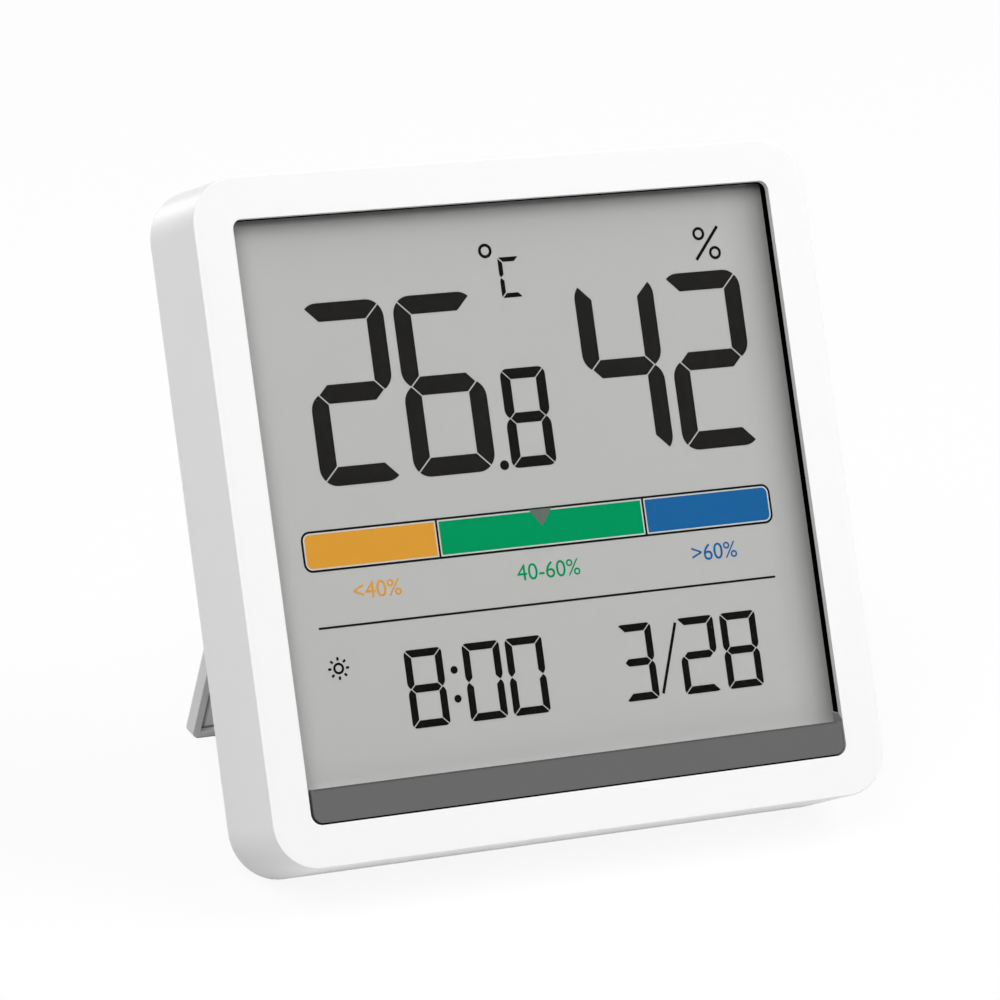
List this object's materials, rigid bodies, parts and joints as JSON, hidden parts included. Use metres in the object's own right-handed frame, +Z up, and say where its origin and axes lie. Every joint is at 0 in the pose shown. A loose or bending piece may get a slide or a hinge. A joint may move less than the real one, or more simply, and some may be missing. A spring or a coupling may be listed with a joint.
{
  "type": "temperature humidity sensor",
  "caption": "Square white desk thermometer and hygrometer with a clock, a segment display behind a clear window, a grey lower strip and a fold-out stand at the back.",
  "frame": {"origin": "middle of the footprint, on the table, with the casing leaning back on its stand", "axes": "+X to the right across the display as a reader sees it, +Y away from the reader, +Z up"},
  "size_m": [0.0812, 0.0524, 0.077],
  "materials": {
    "casing_white": "fine satin",
    "lens_clear": "clear polished",
    "trim_grey": "matt",
    "gasket_black": "matt",
    "film_grey": "satin film",
    "lcd_glass": "polished",
    "reflector_silver": "satin film",
    "holder_white": "satin",
    "connector_rubber": "matt",
    "board_green": "varnished",
    "epoxy_black": "gloss",
    "can_steel": "bright",
    "passive_tan": "matt",
    "sensor_white": "matt",
    "switch_grey": "matt",
    "plunger_black": "matt",
    "button_white": "satin",
    "cell_steel": "gloss",
    "contact_steel": "bright",
    "screw_steel": "satin"
  },
  "bodies": {
    "casing": {"front_shell": "casing_white", "lens": "lens_clear", "trim_strip": "trim_grey", "lens_gasket": "gasket_black", "lcd_front_polariser": "film_grey", "lcd_front_glass": "lcd_glass", "lcd_rear_glass": "lcd_glass", "lcd_reflector": "reflector_silver", "lcd_holder": "holder_white", "zebra_strip": "connector_rubber", "main_board": "board_green", "controller_chip": "epoxy_black", "clock_crystal": "can_steel", "board_passives": "passive_tan", "humidity_sensor": "sensor_white", "tact_switches": "switch_grey", "cell_upper": "cell_steel", "cell_lower": "cell_steel", "contact_link": "contact_steel", "contact_positive": "contact_steel", "contact_negative": "contact_steel", "rear_cover": "casing_white", "cover_screws": "screw_steel", "board_screws": "screw_steel"},
    "stand": {"stand": "casing_white"},
    "battery_door": {"battery_door": "casing_white"},
    "button_set": {"button_set": "button_white", "plunger_set": "plunger_black"},
    "button_up": {"button_up": "button_white", "plunger_up": "plunger_black"},
    "button_down": {"button_down": "button_white", "plunger_down": "plunger_black"}
  },
  "joints": [
    {"name": "stand_hinge", "type": "hinge", "parent": "casing", "child": "stand", "pos_m": [0, 0.01045, 0.04112], "axis": [-1, 0, 0], "range_deg": [0, 46.4]},
    {"name": "battery_door_lift", "type": "slide", "parent": "casing", "child": "battery_door", "axis": [0, 0.8847, -0.4662], "range_m": [0, 0.012]},
    {"name": "button_set_press", "type": "slide", "parent": "casing", "child": "button_set", "axis": [0, -0.8847, 0.4662], "range_m": [0, 0.0003], "stiffness_N_per_m": 300, "springref_m": -0.0008},
    {"name": "button_up_press", "type": "slide", "parent": "casing", "child": "button_up", "axis": [0, -0.8847, 0.4662], "range_m": [0, 0.0003], "stiffness_N_per_m": 300, "springref_m": -0.0008},
    {"name": "button_down_press", "type": "slide", "parent": "casing", "child": "button_down", "axis": [0, -0.8847, 0.4662], "range_m": [0, 0.0003], "stiffness_N_per_m": 300, "springref_m": -0.0008}
  ]
}
